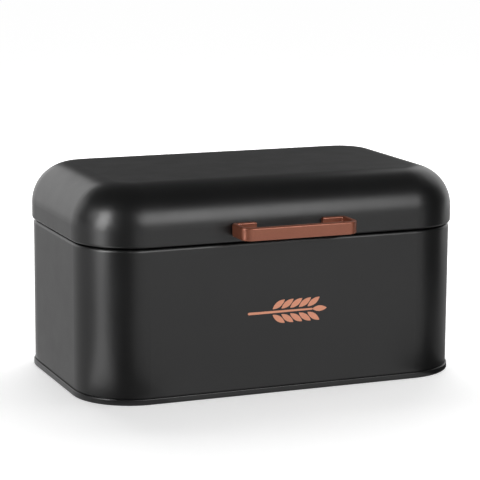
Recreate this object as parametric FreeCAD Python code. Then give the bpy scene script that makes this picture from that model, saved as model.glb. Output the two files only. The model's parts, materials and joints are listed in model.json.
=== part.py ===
"""Bread bin of folded and drawn sheet steel with a lid hinged at the back. Millimetres.
The origin is on the counter under the middle of the body. The front faces -Y, and +Z is up."""

import FreeCAD
import Part
import math
import os

Vector = FreeCAD.Vector
RIGHT = Vector(1, 0, 0)
BACK = Vector(0, 1, 0)
FRONT = Vector(0, -1, 0)

# Body
BODY_WIDTH = 330.0
BODY_DEPTH = 198.0
BODY_CORNER = 48.0
SHEET = 0.6
HEM_FLAT = 0.04
SHOULDER_TOP = 125.9
SHOULDER_ROUND = 3.0
NECK_INSET = 4.0
NECK_TOP = 135.5
NECK_HEM = 3.0
NECK_HEM_DROP = 4.0
LOCK_SEAM_WIDTH = 6.0
VENT_RADIUS = 1.75
VENT_PITCH = 9.0
VENT_CENTRES_X = (-42.0, 42.0)
VENT_HEIGHT = 96.0

# Base, folded round the lower edge of the wall, with a crease pressed into the wall just above the fold
BEAD_OUT = 1.25
BEAD_ROUND = 1.1
WALL_FOOT = 0.75
WALL_SLIP = 0.03
FLOOR_TOP = 5.2
CREASE_DEPTH = 0.5
CREASE_HEIGHT = 0.9
PANEL_INSET = 22.0
PANEL_RISE = 1.2

# Lid
LID_OVERHANG = 1.5
LID_CORNER = 50.0
LID_FOOT = 126.6
LID_TOP = 174.0
LID_ROUND = 34.0
LID_HEM = 4.6
LID_HEM_RISE = 4.8

# Handle
HANDLE_LENGTH = 100.0
HANDLE_REACH = 29.0
HANDLE_HEIGHT = 10.6
HANDLE_MIDDLE = 137.5
BAR_THICK = 4.6
LEG_THICK = 4.0
FOOT_THICK = 3.6
FOOT_GAP = 58.0
HANDLE_ROUND_FRONT = 9.2
HANDLE_ROUND_REAR = 5.0
HANDLE_EDGE = 1.4
SCREW_SPACING = 73.5
SCREW_LEVEL = 135.6
SCREW_RADIUS = 1.95
SCREW_HOLE = 2.0
SCREW_CLEARANCE = 2.2
SCREW_DEPTH = 2.8
SCREW_HEAD_RADIUS = 3.5
SCREW_HEAD = 2.0
WASHER_RADIUS = 4.4
WASHER = 0.8

# Hinges
HINGE_CENTRES = {"left": -92.0, "right": 92.0}
HINGE_WIDTH = 36.0
LEAF = 1.0
KNUCKLE_RADIUS = 2.4
KNUCKLE_MIDDLE = 13.0
KNUCKLE_GAP = 0.3
PIN_RADIUS = 1.2
PIN_CLEARANCE = 0.05
PIN_HEAD_RADIUS = 1.9
PIN_HEAD = 0.7
BODY_LEAF_FOOT = 106.0
BODY_LEAF_TOP = 122.9
LID_LEAF_FOOT = 129.2
LID_LEAF_TOP = 139.6
LEAF_CORNER = 2.0
STOP_WIDTH = 9.0
STOP_NEAR = 4.4
STOP_TOP = -0.25
STOP_CLEAR = 2.9
RIVET_SPREAD = 24.0
RIVET_RADIUS = 1.25
RIVET_HEAD_RADIUS = 2.2
RIVET_HEAD = 0.9
RIVET_TAIL_RADIUS = 1.9
RIVET_TAIL = 0.7
BODY_RIVET_HEIGHT = 112.5
LID_RIVET_HEIGHT = 134.8

# Worked out from the above
BODY_BACK = BODY_DEPTH / 2
LID_WIDTH = BODY_WIDTH + 2 * LID_OVERHANG
LID_DEPTH = BODY_DEPTH + 2 * LID_OVERHANG
LID_BACK = LID_DEPTH / 2
AXIS_Y = LID_BACK + KNUCKLE_RADIUS
AXIS_Z = (SHOULDER_TOP + LID_FOOT) / 2


def rounded_block(width, depth, corner, low, high):
    """A block centred on the Z axis with round upright corners."""
    block = Part.makeBox(width, depth, high - low, Vector(-width / 2, -depth / 2, low))
    uprights = [edge for edge in block.Edges if edge.BoundBox.ZLength > 0.9 * (high - low)]
    return block.makeFillet(corner, uprights)


def body_block(inset, low, high):
    """A block with the body's plan, drawn in by inset."""
    return rounded_block(BODY_WIDTH - 2 * inset, BODY_DEPTH - 2 * inset, BODY_CORNER - inset, low, high)


def lid_block(inset, low, high):
    """A block with the lid's plan, drawn in by inset."""
    return rounded_block(LID_WIDTH - 2 * inset, LID_DEPTH - 2 * inset, LID_CORNER - inset, low, high)


def round_level_edges(shape, height, radius):
    """Round every edge that lies level at this height."""
    level = [
        edge
        for edge in shape.Edges
        if abs(edge.BoundBox.ZMin - height) < 1e-4 and abs(edge.BoundBox.ZMax - height) < 1e-4
    ]
    return shape.makeFillet(radius, level)


def rod(radius, length, start, direction):
    return Part.makeCylinder(radius, length, start, direction)


def one_solid(shape):
    """The shape's only solid, with its split faces joined."""
    solids = shape.removeSplitter().Solids
    if len(solids) != 1:
        raise ValueError(f"expected one solid and found {len(solids)}")
    return solids[0]


def profile_along_x(points, x_low, x_high):
    """A prism with a profile of (y, z) points, running from x_low to x_high."""
    corners = [Vector(x_low, y, z) for y, z in points]
    wire = Part.makePolygon(corners + corners[:1])
    return Part.Face(wire).extrude(RIGHT * (x_high - x_low))


def rivet_places(height, y):
    """The rivet centres of both hinges at one height."""
    return [
        Vector(centre + side * RIVET_SPREAD / 2, y, height)
        for centre in HINGE_CENTRES.values()
        for side in (-1, 1)
    ]


def screw_places(y):
    return [Vector(side * SCREW_SPACING / 2, y, SCREW_LEVEL) for side in (-1, 1)]


def vent_places():
    """Two clusters of holes, each one in the middle and six round it."""
    places = []
    for centre in VENT_CENTRES_X:
        places.append(Vector(centre, 0, VENT_HEIGHT))
        for step in range(6):
            turn = math.radians(60 * step)
            across = centre + VENT_PITCH * math.cos(turn)
            places.append(Vector(across, 0, VENT_HEIGHT + VENT_PITCH * math.sin(turn)))
    return places


def rim_ring(block, inset, width, folded_end, open_end, rounding):
    """A ring along the plan, with round edges at its folded end."""
    low, high = sorted((folded_end, open_end))
    ring = block(inset, low, high).cut(block(inset + width, low - 1, high + 1))
    return round_level_edges(ring, folded_end, rounding)


def hem(block, inset, width, folded_end, open_end):
    """A rim whose sheet is folded inwards and back, leaving a slot that is open at the other end."""
    rounding = width / 2 - HEM_FLAT
    away = math.copysign(1, open_end - folded_end)
    ring = rim_ring(block, inset, width, folded_end, open_end, rounding)
    slot = rim_ring(
        block,
        inset + SHEET,
        width - 2 * SHEET,
        folded_end + away * SHEET,
        open_end + away,
        rounding - SHEET,
    )
    return ring.cut(slot)


def make_body_wall():
    outer = round_level_edges(body_block(0, WALL_FOOT, SHOULDER_TOP), SHOULDER_TOP, SHOULDER_ROUND)
    cavity = body_block(SHEET, WALL_FOOT - 1, SHOULDER_TOP - SHEET)
    cavity = round_level_edges(cavity, SHOULDER_TOP - SHEET, SHOULDER_ROUND - SHEET)
    throat = body_block(NECK_INSET + SHEET, SHOULDER_TOP - 2, NECK_TOP)
    neck = body_block(NECK_INSET, SHOULDER_TOP - SHEET, NECK_TOP - NECK_HEM_DROP)
    rim = hem(body_block, NECK_INSET, NECK_HEM, NECK_TOP, NECK_TOP - NECK_HEM_DROP)
    wall = outer.fuse(neck).cut(cavity).cut(throat).fuse(rim)

    crease_top = FLOOR_TOP + CREASE_HEIGHT
    crease = body_block(-1, FLOOR_TOP, crease_top).cut(body_block(CREASE_DEPTH, FLOOR_TOP, crease_top))
    ridge = body_block(SHEET, FLOOR_TOP + WALL_SLIP, crease_top + SHEET)
    ridge = ridge.cut(body_block(SHEET + CREASE_DEPTH, FLOOR_TOP, crease_top + 1))
    wall = wall.fuse(ridge).cut(crease)

    seam = Part.makeBox(
        LOCK_SEAM_WIDTH,
        SHEET + 0.1,
        SHOULDER_TOP - SHOULDER_ROUND - FLOOR_TOP - 3,
        Vector(-LOCK_SEAM_WIDTH / 2, BODY_BACK - 2 * SHEET, FLOOR_TOP + 2),
    )
    wall = wall.fuse(seam)
    for place in vent_places():
        wall = wall.cut(rod(VENT_RADIUS, 4, place + BACK * (BODY_BACK - 2), BACK))
    for place in rivet_places(BODY_RIVET_HEIGHT, BODY_BACK - 2):
        wall = wall.cut(rod(RIVET_RADIUS, 4, place, BACK))
    return one_solid(wall)


def make_base_pan():
    pan = body_block(-BEAD_OUT, 0, FLOOR_TOP)
    for height in (0, FLOOR_TOP):
        pan = round_level_edges(pan, height, BEAD_ROUND)
    inner_face = SHEET + WALL_SLIP
    slot = body_block(-WALL_SLIP, WALL_FOOT - 0.05, FLOOR_TOP + 1)
    slot = slot.cut(body_block(inner_face, 0, FLOOR_TOP + 2))
    pan = pan.cut(slot).cut(body_block(inner_face + SHEET, -1, FLOOR_TOP - SHEET))
    panel = body_block(PANEL_INSET, FLOOR_TOP - SHEET, FLOOR_TOP + PANEL_RISE)
    panel = round_level_edges(panel, FLOOR_TOP + PANEL_RISE, PANEL_RISE * 0.6)
    hollow = body_block(PANEL_INSET + SHEET, FLOOR_TOP - 2 * SHEET, FLOOR_TOP + PANEL_RISE - SHEET)
    return one_solid(pan.fuse(panel).cut(hollow))


def make_lid_shell():
    shell = round_level_edges(lid_block(0, LID_FOOT + LID_HEM_RISE, LID_TOP), LID_TOP, LID_ROUND)
    inner = lid_block(SHEET, LID_FOOT, LID_TOP - SHEET)
    inner = round_level_edges(inner, LID_TOP - SHEET, LID_ROUND - SHEET)
    rim = hem(lid_block, 0, LID_HEM, LID_FOOT, LID_FOOT + LID_HEM_RISE)
    shell = shell.cut(inner).fuse(rim)
    for place in screw_places(-LID_BACK - 1):
        shell = shell.cut(rod(SCREW_CLEARANCE, 3, place, BACK))
    for place in rivet_places(LID_RIVET_HEIGHT, LID_BACK - 2):
        shell = shell.cut(rod(RIVET_RADIUS, 4, place, BACK))
    return one_solid(shell)


def make_handle():
    low = HANDLE_MIDDLE - HANDLE_HEIGHT / 2
    half = HANDLE_LENGTH / 2
    front = -LID_BACK - HANDLE_REACH
    outer = Part.makeBox(HANDLE_LENGTH, HANDLE_REACH, HANDLE_HEIGHT, Vector(-half, front, low))
    outer = round_ends(outer, HANDLE_ROUND_FRONT, HANDLE_ROUND_REAR)
    inner = Part.makeBox(
        HANDLE_LENGTH - 2 * LEG_THICK,
        HANDLE_REACH - BAR_THICK - FOOT_THICK,
        HANDLE_HEIGHT,
        Vector(-half + LEG_THICK, front + BAR_THICK, low),
    )
    inner = round_ends(inner, HANDLE_ROUND_FRONT - BAR_THICK, HANDLE_ROUND_REAR - FOOT_THICK)
    gap_corner = Vector(-FOOT_GAP / 2, -LID_BACK - FOOT_THICK - 0.5, low)
    gap = Part.makeBox(FOOT_GAP, FOOT_THICK + 1, HANDLE_HEIGHT, gap_corner)
    strap = one_solid(outer.cut(inner).cut(gap))
    for height in (low, low + HANDLE_HEIGHT):
        strap = round_level_edges(strap, height, HANDLE_EDGE)
    for place in screw_places(-LID_BACK):
        strap = strap.cut(rod(SCREW_HOLE, SCREW_DEPTH + 0.2, place, FRONT))
    return one_solid(strap)


def round_ends(block, front, rear):
    """Round a block's upright edges, by one radius in front and another at the rear."""
    middle = (block.BoundBox.YMin + block.BoundBox.YMax) / 2
    uprights = [edge for edge in block.Edges if edge.BoundBox.ZLength > 1]
    block = block.makeFillet(front, [edge for edge in uprights if edge.BoundBox.YMax < middle])
    uprights = [
        edge
        for edge in block.Edges
        if edge.BoundBox.ZLength > 1 and abs(edge.BoundBox.YMin - block.BoundBox.YMax) < 1e-4
    ]
    return block.makeFillet(rear, uprights)


def make_handle_screws():
    screws = []
    for place in screw_places(-LID_BACK + SHEET + WASHER):
        head = rod(SCREW_HEAD_RADIUS, SCREW_HEAD, place, BACK)
        top = [edge for edge in head.Edges if abs(edge.BoundBox.YMin - place.y - SCREW_HEAD) < 1e-4]
        head = head.makeFillet(0.9, top)
        slot_size = (0.8, 1.2, 4.2)
        for long_way in (0, 1):
            across, up = (slot_size[2], slot_size[0]) if long_way else (slot_size[0], slot_size[2])
            corner = place + Vector(-across / 2, SCREW_HEAD - slot_size[1], -up / 2)
            head = head.cut(Part.makeBox(across, slot_size[1] + 1, up, corner))
        shank = rod(SCREW_RADIUS, WASHER + SHEET + SCREW_DEPTH, place, FRONT)
        screws.append(one_solid(head.fuse(shank)))
    return Part.makeCompound(screws)


def make_handle_washers():
    washers = []
    for place in screw_places(-LID_BACK + SHEET):
        disc = rod(WASHER_RADIUS, WASHER, place, BACK)
        washers.append(disc.cut(rod(SCREW_CLEARANCE, WASHER, place, BACK)))
    return Part.makeCompound(washers)


def knuckle(x_low, x_high):
    return rod(KNUCKLE_RADIUS, x_high - x_low, Vector(x_low, AXIS_Y, AXIS_Z), RIGHT)


def pin_bore(centre):
    start = Vector(centre - HINGE_WIDTH, AXIS_Y, AXIS_Z)
    return rod(PIN_RADIUS + PIN_CLEARANCE, 2 * HINGE_WIDTH, start, RIGHT)


def leaf_plate(centre, inner_face, low, high, rounded_height):
    """A hinge leaf's flat plate, with its two free corners round."""
    corner = Vector(centre - HINGE_WIDTH / 2, inner_face, low)
    plate = Part.makeBox(HINGE_WIDTH, LEAF, high - low, corner)
    free = [
        edge
        for edge in plate.Edges
        if edge.BoundBox.YLength > 0.9 * LEAF
        and edge.BoundBox.XLength < 1e-4
        and abs(edge.BoundBox.ZMin - rounded_height) < 1e-4
    ]
    return plate.makeFillet(LEAF_CORNER, free)


def make_body_leaf(centre):
    """A plate on the back wall, two knuckles carried up and out from it, and a tongue that stops the lid."""
    leaf = leaf_plate(centre, BODY_BACK, BODY_LEAF_FOOT, BODY_LEAF_TOP, BODY_LEAF_FOOT)
    arm = (
        (BODY_BACK, BODY_LEAF_TOP - 0.6),
        (BODY_BACK + LEAF, BODY_LEAF_TOP - 1.4),
        (AXIS_Y - 0.6, AXIS_Z - 1.9),
        (AXIS_Y - 1.6, AXIS_Z - 0.7),
        (BODY_BACK, BODY_LEAF_TOP),
    )
    inside = KNUCKLE_MIDDLE / 2 + KNUCKLE_GAP
    for low, high in ((-HINGE_WIDTH / 2, -inside), (inside, HINGE_WIDTH / 2)):
        leaf = leaf.fuse(profile_along_x(arm, centre + low, centre + high))
        leaf = leaf.fuse(knuckle(centre + low, centre + high))
    shelf_top = AXIS_Z - STOP_CLEAR
    tongue = (
        (BODY_BACK, shelf_top - LEAF),
        (AXIS_Y + STOP_NEAR + LEAF, shelf_top - LEAF),
        (AXIS_Y + STOP_NEAR + LEAF, AXIS_Z + STOP_TOP),
        (AXIS_Y + STOP_NEAR, AXIS_Z + STOP_TOP),
        (AXIS_Y + STOP_NEAR, shelf_top),
        (BODY_BACK, shelf_top),
    )
    leaf = leaf.fuse(profile_along_x(tongue, centre - STOP_WIDTH / 2, centre + STOP_WIDTH / 2))
    leaf = leaf.cut(pin_bore(centre))
    for place in rivet_places(BODY_RIVET_HEIGHT, BODY_BACK - 1):
        leaf = leaf.cut(rod(RIVET_RADIUS, 4, place, BACK))
    return one_solid(leaf)


def make_lid_leaf(centre):
    """A plate on the back of the lid, with one knuckle rolled down from its middle."""
    leaf = leaf_plate(centre, LID_BACK, LID_LEAF_FOOT, LID_LEAF_TOP, LID_LEAF_TOP)
    strap = (
        (LID_BACK, AXIS_Z),
        (LID_BACK + LEAF, AXIS_Z),
        (LID_BACK + LEAF, LID_LEAF_FOOT + 0.1),
        (LID_BACK, LID_LEAF_FOOT + 0.1),
    )
    low, high = centre - KNUCKLE_MIDDLE / 2, centre + KNUCKLE_MIDDLE / 2
    leaf = leaf.fuse(profile_along_x(strap, low, high)).fuse(knuckle(low, high)).cut(pin_bore(centre))
    for place in rivet_places(LID_RIVET_HEIGHT, LID_BACK - 1):
        leaf = leaf.cut(rod(RIVET_RADIUS, 4, place, BACK))
    return one_solid(leaf)


def make_hinge_pin(centre):
    """A pin with a peened head at each end."""
    length = HINGE_WIDTH + 0.2
    start = Vector(centre - length / 2, AXIS_Y, AXIS_Z)
    pin = rod(PIN_RADIUS, length, start, RIGHT)
    for end, outwards in ((start, RIGHT * -1), (start + RIGHT * length, RIGHT)):
        pin = pin.fuse(domed_head(end, outwards, PIN_HEAD_RADIUS, PIN_HEAD))
    return one_solid(pin)


def domed_head(base, outwards, radius, height):
    """A low round head that stands on a plane through base."""
    head = rod(radius, height, base, outwards)
    face = base + outwards * height
    top = [edge for edge in head.Edges if (edge.CenterOfMass - face).Length < 1e-3]
    return head.makeFillet(height * 0.7, top)


def make_rivets(height, wall_inner, leaf_outer):
    """Rivets through a wall and the leaves on it, with heads outside and flatter tails inside."""
    rivets = []
    for place in rivet_places(height, wall_inner):
        rivet = rod(RIVET_RADIUS, leaf_outer - wall_inner, place, BACK)
        rivet = rivet.fuse(domed_head(place, FRONT, RIVET_TAIL_RADIUS, RIVET_TAIL))
        head = domed_head(place + BACK * (leaf_outer - wall_inner), BACK, RIVET_HEAD_RADIUS, RIVET_HEAD)
        rivets.append(one_solid(rivet.fuse(head)))
    return Part.makeCompound(rivets)


def make_parts():
    parts = {
        "body_wall": make_body_wall(),
        "base_pan": make_base_pan(),
        "lid_shell": make_lid_shell(),
        "handle": make_handle(),
        "handle_screws": make_handle_screws(),
        "handle_washers": make_handle_washers(),
        "hinge_body_rivets": make_rivets(BODY_RIVET_HEIGHT, BODY_BACK - SHEET, BODY_BACK + LEAF),
        "hinge_lid_rivets": make_rivets(LID_RIVET_HEIGHT, LID_BACK - SHEET, LID_BACK + LEAF),
    }
    for side, centre in HINGE_CENTRES.items():
        parts[f"hinge_body_leaf_{side}"] = make_body_leaf(centre)
        parts[f"hinge_lid_leaf_{side}"] = make_lid_leaf(centre)
        parts[f"hinge_pin_{side}"] = make_hinge_pin(centre)
    return parts


def main():
    os.makedirs("parts", exist_ok=True)
    for name, shape in make_parts().items():
        if not shape.isValid():
            raise ValueError(f"{name} is not valid")
        shape.exportStep(f"parts/{name}.step")
        print(f"{name}: {len(shape.Solids)} solid(s), {shape.Volume:.1f} mm3")


main()
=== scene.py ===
import bmesh
import bpy
import json
import math
from mathutils import Matrix, Vector


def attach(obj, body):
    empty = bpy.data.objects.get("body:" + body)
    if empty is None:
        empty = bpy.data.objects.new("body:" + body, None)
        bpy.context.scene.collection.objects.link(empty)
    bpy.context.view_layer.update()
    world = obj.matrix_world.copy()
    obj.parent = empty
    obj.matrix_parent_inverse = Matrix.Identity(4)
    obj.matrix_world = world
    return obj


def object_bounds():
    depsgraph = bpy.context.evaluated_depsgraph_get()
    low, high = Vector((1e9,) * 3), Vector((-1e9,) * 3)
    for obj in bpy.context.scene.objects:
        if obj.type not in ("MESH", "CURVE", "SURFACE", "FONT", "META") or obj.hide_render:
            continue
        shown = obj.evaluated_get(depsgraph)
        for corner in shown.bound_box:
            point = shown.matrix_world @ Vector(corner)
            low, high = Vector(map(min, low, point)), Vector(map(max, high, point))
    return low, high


# A bread bin in satin black powder coat, with a copper-coloured handle and print, on a pale studio floor.
# Metres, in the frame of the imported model: the front faces -Y, +X is to the right and +Z is up.

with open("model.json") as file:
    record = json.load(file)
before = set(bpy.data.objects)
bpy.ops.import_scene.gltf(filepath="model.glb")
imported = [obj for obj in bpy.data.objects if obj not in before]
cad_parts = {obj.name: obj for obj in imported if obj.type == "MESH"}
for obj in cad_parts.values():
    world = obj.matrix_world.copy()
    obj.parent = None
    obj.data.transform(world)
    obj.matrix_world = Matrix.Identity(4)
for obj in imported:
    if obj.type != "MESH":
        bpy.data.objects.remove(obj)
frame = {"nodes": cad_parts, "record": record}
cad_low, cad_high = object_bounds()
CENTRE = (cad_low + cad_high) / 2

# Camera
CAMERA_AZIMUTH = math.radians(-22.34)
CAMERA_ELEVATION = math.radians(10.74)
CAMERA_ROLL = math.radians(0.337)
CAMERA_DISTANCE = 1.7044
CAMERA_LENS = 150.92
SENSOR = 36.0
AIM_FROM_CENTRE = Vector((-0.0026, 0.0056, 0.0218))

# Print on the front: an ear of wheat that lies along X
EAR_MIDDLE_X = 0.0007
EAR_HEIGHT = 0.067
EAR_LENGTH = 0.0695
GRAIN_PAIRS = 5
GRAIN_PITCH = 0.0077
GRAIN_LENGTH = 0.0128
GRAIN_WIDTH = 0.0047
GRAIN_TILT = math.radians(34)
GRAIN_OFFSET = 0.0024
GRAIN_ROUNDING = 0.8
FIRST_PAIR_IN_PITCHES = 0.55
STALK_WIDTH = 0.0021
STALK_TIP_SHARE = 0.35
PRINT_THICKNESS = 0.00012
PRINT_GAP = 0.00001
OUTLINE_STEPS = 24

# Finishes: the darkest and lightest colour of each, and the depth of its relief
BLACK = ((0.0032, 0.0032, 0.0034), (0.0052, 0.0052, 0.0054))
COPPER = ((0.205, 0.062, 0.032), (0.275, 0.088, 0.048))
INK = ((0.66, 0.27, 0.165), (0.76, 0.325, 0.20))
ZINC = ((0.50, 0.50, 0.49), (0.64, 0.64, 0.65))
PEEL_DEPTH = 0.000018
POWDER_DEPTH = 0.000009
COPPER_DEPTH = 0.000010
BRUSHING_DEPTH = 0.000012

# Floor: its own light, which is dimmer in a pool round the bin
FLOOR_RADIUS = 14.0
FLOOR_SIDES = 96
FLOOR_GLOW = 0.88
FLOOR_COLOUR = 0.85
POOL_GLOW = 0.52
POOL_RADIUS = 0.35
POOL_FADE = 1.35

# World: its dim light near the horizon and overhead
WORLD_LEVEL = 0.17
WORLD_OVERHEAD = 0.11

# Lights for the print and for the shadows on the floor, aimed at the middle of the bin. Angles in degrees.
# Each row: name, azimuth, elevation, distance, width, height, watts
SOFT_LIGHTS = (
    ("key_light", 10, 40, 1.4, 1.2, 0.8, 2),
    ("left_light", -80, 35, 1.2, 0.8, 0.8, 1.5),
    ("right_light", 80, 52, 1.4, 1.0, 0.8, 5),
    ("back_light", 165, 50, 1.5, 1.4, 1.0, 20),
)

# Cards that glow only in reflections: painted highlights and painted dark reflections, placed from near a
# front corner or from the middle. Angles in degrees.
LEFT_CORNER = (-0.13, -0.085)
RIGHT_CORNER = (0.13, -0.065)
MIDDLE = (0, 0)

# Each row: name, place, azimuth and distance from it, width, lower edge, upper edge, glow
STANDING_CARDS = (
    ("left_softbox_low", LEFT_CORNER, -78, 0.48, 0.17, 0.03, 0.12, 5),
    ("left_softbox_middle", LEFT_CORNER, -75, 0.48, 0.15, 0.12, 0.18, 14),
    ("left_softbox_high", LEFT_CORNER, -72, 0.48, 0.18, 0.18, 0.50, 15),
    ("left_upper_card", LEFT_CORNER, -96, 0.50, 0.20, 0.26, 0.50, 2),
    ("front_dark_card", LEFT_CORNER, -37, 0.20, 0.19, 0.0, 0.30, 0.1),
    ("right_dark_card", RIGHT_CORNER, 64, 0.30, 0.31, 0.0, 0.40, 0.05),
    ("back_left_low_card", MIDDLE, -154, 1.3, 1.4, 0.0, 0.28, 1.3),
    ("back_left_card", MIDDLE, -154, 1.3, 1.4, 0.28, 0.90, 1.5),
    ("back_right_card", MIDDLE, 122, 1.3, 1.0, 0.0, 1.3, 1.3),
)

# Cards on the floor that glow only in reflections: painted reflections of a brighter or darker floor.
# Each row: name, place, azimuth, near and far end from the place, width, glow
AIMED_FLOOR_CARDS = (
    ("left_floor_glow", LEFT_CORNER, -78, 0.07, 0.46, 0.09, 3.4),
    ("front_dark_floor", LEFT_CORNER, -37, 0.02, 0.20, 0.12, 0.2),
    ("right_near_floor", RIGHT_CORNER, 64, 0.02, 0.30, 0.14, 0.06),
    ("right_far_floor", RIGHT_CORNER, 130, 0.03, 0.90, 0.60, 0.5),
)

# More cards on the floor that glow only in reflections: painted reflections of a brighter or darker floor.
# Each row: name, lowest and highest X, lowest and highest Y, glow
FLOOR_CARDS = (
    ("left_floor_card", -1.6, -0.171, -0.08, 3.0, 0.67),
    ("front_floor_card", -0.10, 0.24, -0.24, -0.103, 1.1),
)
AIMED_CARD_LIFT = 0.001
FLOOR_CARD_LIFT = 0.0005


def direction(azimuth, elevation):
    """The unit vector towards an azimuth and elevation. Azimuth 0 is -Y, and a quarter turn is +X."""
    level = math.cos(elevation)
    return Vector((math.sin(azimuth) * level, -math.cos(azimuth) * level, math.sin(elevation)))


def link(obj):
    bpy.context.scene.collection.objects.link(obj)
    return obj


def make_camera():
    data = bpy.data.cameras.new("camera")
    data.lens = CAMERA_LENS
    data.sensor_width = SENSOR
    camera = link(bpy.data.objects.new("camera", data))
    back = direction(CAMERA_AZIMUTH, CAMERA_ELEVATION)
    turn = (-back).to_track_quat("-Z", "Y").to_matrix() @ Matrix.Rotation(CAMERA_ROLL, 3, "Z")
    place = CENTRE + AIM_FROM_CENTRE + back * CAMERA_DISTANCE
    camera.matrix_world = Matrix.Translation(place) @ turn.to_4x4()
    bpy.context.scene.camera = camera


class Nodes:
    """A short way to write a material's node tree."""

    def __init__(self, name):
        self.material = bpy.data.materials.new(name)
        self.material.use_nodes = True
        self.tree = self.material.node_tree
        self.surface = self.tree.nodes["Principled BSDF"]
        self.place = self.add("ShaderNodeTexCoord").outputs["Object"]

    def add(self, kind, **settings):
        node = self.tree.nodes.new(kind)
        for key, value in settings.items():
            setattr(node, key, value)
        return node

    def join(self, source, target):
        self.tree.links.new(source, target)

    def stretched(self, scale):
        """Object coordinates, scaled differently along each axis."""
        mapping = self.add("ShaderNodeMapping")
        mapping.inputs["Scale"].default_value = scale
        self.join(self.place, mapping.inputs["Vector"])
        return mapping.outputs["Vector"]

    def noise(self, scale, detail=2.0, place=None):
        """Noise with features of about 1 / scale metres, from 0 to 1."""
        node = self.add("ShaderNodeTexNoise")
        node.inputs["Scale"].default_value = scale
        node.inputs["Detail"].default_value = detail
        self.join(place or self.place, node.inputs["Vector"])
        return node.outputs["Fac"]

    def cells(self, scale):
        """A random number for each small cell."""
        node = self.add("ShaderNodeTexVoronoi")
        node.inputs["Scale"].default_value = scale
        self.join(self.place, node.inputs["Vector"])
        split = self.add("ShaderNodeSeparateColor")
        self.join(node.outputs["Color"], split.inputs["Color"])
        return split.outputs["Red"]

    def span(self, value, low, high, low_in=0.3, high_in=0.7):
        """The value moved from its own range to low..high."""
        node = self.add("ShaderNodeMapRange")
        node.inputs["From Min"].default_value = low_in
        node.inputs["From Max"].default_value = high_in
        node.inputs["To Min"].default_value = low
        node.inputs["To Max"].default_value = high
        self.join(value, node.inputs["Value"])
        return node.outputs["Result"]

    def blend(self, value, colours, low_in=0.3, high_in=0.7):
        """A ramp between two colours."""
        node = self.add("ShaderNodeValToRGB")
        for stop, place, colour in zip(node.color_ramp.elements, (low_in, high_in), colours):
            stop.position = place
            stop.color = (*colour, 1)
        self.join(value, node.inputs["Fac"])
        return node.outputs["Color"]

    def bump(self, height, depth, below=None):
        """Relief of a height from 0 to 1 times depth metres, on top of an earlier relief."""
        node = self.add("ShaderNodeBump")
        node.inputs["Distance"].default_value = depth
        self.join(height, node.inputs["Height"])
        if below:
            self.join(below, node.inputs["Normal"])
        return node.outputs["Normal"]

    def set(self, **values):
        for key, value in values.items():
            self.surface.inputs[key.replace("_", " ")].default_value = value

    def feed(self, **sources):
        for key, source in sources.items():
            self.join(source, self.surface.inputs[key.replace("_", " ")])
        return self.material


def powder_relief(nodes):
    """The faint orange peel of a powder coat, with its fine grain on top."""
    peel = nodes.bump(nodes.noise(scale=330, detail=1.0), PEEL_DEPTH)
    return nodes.bump(nodes.noise(scale=1900), POWDER_DEPTH, below=peel)


def powder_coat():
    nodes = Nodes("powder_coat")
    nodes.set(IOR=1.43, Metallic=0.0)
    return nodes.feed(
        Base_Color=nodes.blend(nodes.noise(scale=14, detail=4.0), BLACK),
        Roughness=nodes.span(nodes.noise(scale=45, detail=5.0), 0.32, 0.36),
        Normal=powder_relief(nodes),
    )


def copper_coat():
    nodes = Nodes("copper_coat")
    nodes.set(IOR=1.42, Metallic=0.40, Coat_Weight=0.15, Coat_Roughness=0.22)
    return nodes.feed(
        Base_Color=nodes.blend(nodes.cells(scale=4200), COPPER, low_in=0.0, high_in=1.0),
        Roughness=nodes.span(nodes.noise(scale=160, detail=5.0), 0.30, 0.37),
        Normal=nodes.bump(nodes.noise(scale=900), COPPER_DEPTH),
    )


def copper_ink():
    nodes = Nodes("copper_ink")
    nodes.set(IOR=1.45, Metallic=0.25)
    return nodes.feed(
        Base_Color=nodes.blend(nodes.cells(scale=5200), INK, low_in=0.0, high_in=1.0),
        Roughness=nodes.span(nodes.noise(scale=220, detail=4.0), 0.42, 0.50),
        Normal=powder_relief(nodes),
    )


def zinc_steel():
    nodes = Nodes("zinc_steel")
    nodes.set(Metallic=1.0)
    lines = nodes.noise(scale=1.0, detail=6.0, place=nodes.stretched((260, 4200, 4200)))
    return nodes.feed(
        Base_Color=nodes.blend(nodes.noise(scale=500, detail=4.0), ZINC),
        Roughness=nodes.span(lines, 0.26, 0.42),
        Normal=nodes.bump(lines, BRUSHING_DEPTH),
    )


def finish_cad_nodes():
    """Give every CAD node the finish of its material slot."""
    finish_of = {"powder_coat": powder_coat(), "copper_coat": copper_coat(), "zinc_steel": zinc_steel()}
    for part in frame["record"]["subparts"]:
        materials = frame["nodes"][part["node"]].data.materials
        materials.clear()
        materials.append(finish_of[part["material_slot"]])


def grain_outline(base, tilt):
    """The pointed oval of one grain, from its base point, as (x, z) places."""
    outline = []
    for side in (1, -1):
        for step in range(OUTLINE_STEPS):
            share = step / OUTLINE_STEPS if side > 0 else 1 - step / OUTLINE_STEPS
            across = side * GRAIN_WIDTH / 2 * math.sin(math.pi * share) ** GRAIN_ROUNDING
            along = GRAIN_LENGTH * share
            outline.append((
                base[0] + along * math.cos(tilt) - across * math.sin(tilt),
                base[1] + along * math.sin(tilt) + across * math.cos(tilt),
            ))
    return outline


def stalk_outline(start, end):
    """A slim bar that narrows towards the ear's tip, with a round foot."""
    outline = [(end, STALK_WIDTH * STALK_TIP_SHARE), (end, -STALK_WIDTH * STALK_TIP_SHARE)]
    for step in range(OUTLINE_STEPS + 1):
        turn = math.pi * (1.5 - step / OUTLINE_STEPS)
        outline.append((start + STALK_WIDTH / 2 * math.cos(turn), STALK_WIDTH / 2 * math.sin(turn)))
    return outline


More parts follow.
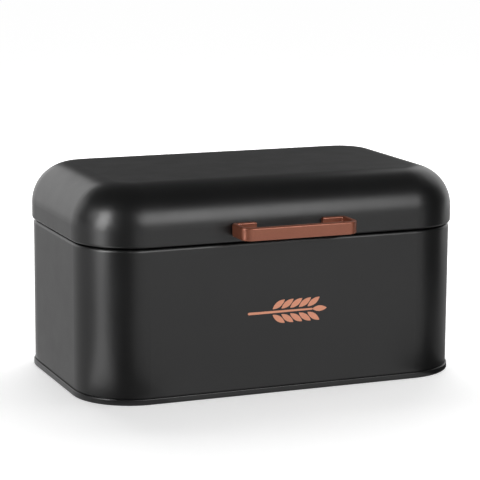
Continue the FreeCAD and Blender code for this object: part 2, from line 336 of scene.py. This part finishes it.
def ear_outlines():
    """Outlines about the print's middle: a stalk, pairs of grains and one grain at the tip."""
    tip = EAR_LENGTH / 2 - GRAIN_LENGTH
    outlines = [stalk_outline(-EAR_LENGTH / 2 + STALK_WIDTH / 2, tip)]
    for pair in range(GRAIN_PAIRS):
        foot = tip - GRAIN_PITCH * (pair + FIRST_PAIR_IN_PITCHES)
        for side in (1, -1):
            outlines.append(grain_outline((foot, side * GRAIN_OFFSET), side * GRAIN_TILT))
    outlines.append(grain_outline((tip, 0), 0))
    return outlines


def front_wall_y():
    """Where the front wall's outer face is, behind the middle of the print."""
    outside = Vector((EAR_MIDDLE_X, cad_low.y - 1, EAR_HEIGHT))
    met, place, _, _ = frame["nodes"]["body_wall"].ray_cast(outside, Vector((0, 1, 0)))
    if not met:
        raise ValueError("there is no wall behind the print")
    return place.y


def make_print():
    """The print, a thin raised layer on the front wall."""
    front = front_wall_y() - PRINT_GAP
    mesh = bmesh.new()
    for outline in ear_outlines():
        rim = [mesh.verts.new((EAR_MIDDLE_X + x, front, EAR_HEIGHT + z)) for x, z in outline]
        face = mesh.faces.new(rim)
        grown = bmesh.ops.extrude_face_region(mesh, geom=[face])
        moved = [part for part in grown["geom"] if isinstance(part, bmesh.types.BMVert)]
        bmesh.ops.translate(mesh, verts=moved, vec=(0, -PRINT_THICKNESS, 0))
    bmesh.ops.recalc_face_normals(mesh, faces=mesh.faces)
    data = bpy.data.meshes.new("front_print")
    mesh.to_mesh(data)
    mesh.free()
    data.materials.append(copper_ink())
    piece = link(bpy.data.objects.new("front_print", data))
    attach(piece, "bin")


def emission(name, strength):
    material = bpy.data.materials.new(name)
    material.use_nodes = True
    tree = material.node_tree
    tree.nodes.clear()
    glow = tree.nodes.new("ShaderNodeEmission")
    glow.inputs["Strength"].default_value = strength
    out = tree.nodes.new("ShaderNodeOutputMaterial")
    tree.links.new(glow.outputs["Emission"], out.inputs["Surface"])
    return material


def make_floor():
    """A pale floor with a little light of its own, less of it near the bin, where shadows show."""
    mesh = bmesh.new()
    bmesh.ops.create_circle(mesh, cap_ends=True, segments=FLOOR_SIDES, radius=FLOOR_RADIUS)
    data = bpy.data.meshes.new("floor")
    mesh.to_mesh(data)
    mesh.free()
    nodes = Nodes("floor")
    nodes.set(Base_Color=(FLOOR_COLOUR, FLOOR_COLOUR, FLOOR_COLOUR, 1), Roughness=0.9)
    nodes.set(Specular_IOR_Level=0.0, Emission_Strength=FLOOR_GLOW)
    away = nodes.add("ShaderNodeVectorMath", operation="LENGTH")
    nodes.join(nodes.place, away.inputs[0])
    shine = nodes.span(away.outputs["Value"], POOL_GLOW, 1.0, POOL_RADIUS, POOL_FADE)
    data.materials.append(nodes.feed(Emission_Color=shine))
    link(bpy.data.objects.new("floor", data))


def card(name, middle, right, up, glow):
    """A flat glowing card that only shows in reflections, a painted reflection, with half sides right and
    up.
    """
    mesh = bmesh.new()
    corners = [middle + a * right + b * up for a, b in ((-1, -1), (1, -1), (1, 1), (-1, 1))]
    mesh.faces.new([mesh.verts.new(c) for c in corners])
    data = bpy.data.meshes.new(name)
    mesh.to_mesh(data)
    mesh.free()
    data.materials.append(emission(name, glow))
    obj = link(bpy.data.objects.new(name, data))
    obj.visible_camera = False
    obj.visible_diffuse = False
    obj.visible_shadow = False
    obj.visible_transmission = False


def standing_card(name, near, azimuth, distance, width, low, high, glow):
    """A card that stands across the view from a point, at an azimuth and distance from it: a painted
    highlight or painted dark reflection.
    """
    away = direction(math.radians(azimuth), 0)
    middle = Vector((near[0], near[1], 0)) + away * distance + Vector((0, 0, (low + high) / 2))
    right = Vector((-away.y, away.x, 0)) * width / 2
    card(name, middle, right, Vector((0, 0, (high - low) / 2)), glow)


def aimed_floor_card(name, near, azimuth, start, end, width, glow):
    """A card on the floor that runs away from a point, from start to end: a painted reflection of the floor.
    """
    away = direction(math.radians(azimuth), 0)
    middle = Vector((near[0], near[1], AIMED_CARD_LIFT)) + away * (start + end) / 2
    card(name, middle, away * (end - start) / 2, Vector((-away.y, away.x, 0)) * width / 2, glow)


def floor_card(name, x_low, x_high, y_low, y_high, glow):
    middle = Vector(((x_low + x_high) / 2, (y_low + y_high) / 2, FLOOR_CARD_LIFT))
    half_x = Vector(((x_high - x_low) / 2, 0, 0))
    half_y = Vector((0, (y_high - y_low) / 2, 0))
    card(name, middle, half_x, half_y, glow)


def aimed(azimuth, elevation, distance):
    """A place round the middle of the bin, turned so that its -Z faces the middle. Angles in degrees."""
    away = direction(math.radians(azimuth), math.radians(elevation))
    turn = (-away).to_track_quat("-Z", "Y").to_matrix()
    return Matrix.Translation(CENTRE + away * distance) @ turn.to_4x4()


def aimed_card(name, azimuth, elevation, distance, width, height, glow):
    """A card that faces the middle of the bin, a painted highlight seen only in reflections."""
    place = aimed(azimuth, elevation, distance)
    turn = place.to_3x3()
    card(name, place.translation, turn @ Vector((width / 2, 0, 0)), turn @ Vector((0, height / 2, 0)), glow)


def soft_light(name, azimuth, elevation, distance, width, height, watts):
    """A soft light that faces the middle of the bin. It shows in no reflection; glowing cards paint the
    highlights instead.
    """
    data = bpy.data.lights.new(name, "AREA")
    data.shape = "RECTANGLE"
    data.size = width
    data.size_y = height
    data.energy = watts
    lamp = link(bpy.data.objects.new(name, data))
    lamp.matrix_world = aimed(azimuth, elevation, distance)
    lamp.visible_camera = False
    lamp.visible_glossy = False


def make_world():
    """Dim light all round, dimmer overhead. The camera itself sees plain white."""
    world = bpy.data.worlds.new("studio")
    bpy.context.scene.world = world
    world.use_nodes = True
    tree = world.node_tree
    tree.nodes.clear()
    split = tree.nodes.new("ShaderNodeSeparateXYZ")
    tree.links.new(tree.nodes.new("ShaderNodeTexCoord").outputs["Generated"], split.inputs["Vector"])
    strength = tree.nodes.new("ShaderNodeMapRange")
    strength.interpolation_type = "SMOOTHSTEP"
    strength.inputs["To Min"].default_value = WORLD_LEVEL
    strength.inputs["To Max"].default_value = WORLD_OVERHEAD
    tree.links.new(split.outputs["Z"], strength.inputs["Value"])
    shown = tree.nodes.new("ShaderNodeMapRange")
    shown.inputs["To Max"].default_value = 1.0
    tree.links.new(tree.nodes.new("ShaderNodeLightPath").outputs["Is Camera Ray"], shown.inputs["Value"])
    tree.links.new(strength.outputs["Result"], shown.inputs["To Min"])
    background = tree.nodes.new("ShaderNodeBackground")
    background.inputs["Color"].default_value = (1, 1, 1, 1)
    tree.links.new(shown.outputs["Result"], background.inputs["Strength"])
    out = tree.nodes.new("ShaderNodeOutputWorld")
    tree.links.new(background.outputs["Background"], out.inputs["Surface"])


def make_studio():
    make_floor()
    make_world()
    for row in SOFT_LIGHTS:
        soft_light(*row)
    # A glowing card that paints a softbox highlight on the bin, seen only in reflections.
    aimed_card("front_painted_highlight", azimuth=14, elevation=24, distance=1.3, width=0.85, height=0.64, glow=6.3)
    for row in STANDING_CARDS:
        standing_card(*row)
    for row in AIMED_FLOOR_CARDS:
        aimed_floor_card(*row)
    for row in FLOOR_CARDS:
        floor_card(*row)


make_camera()
finish_cad_nodes()
make_print()
make_studio()
bpy.context.scene.view_settings.view_transform = "Standard"
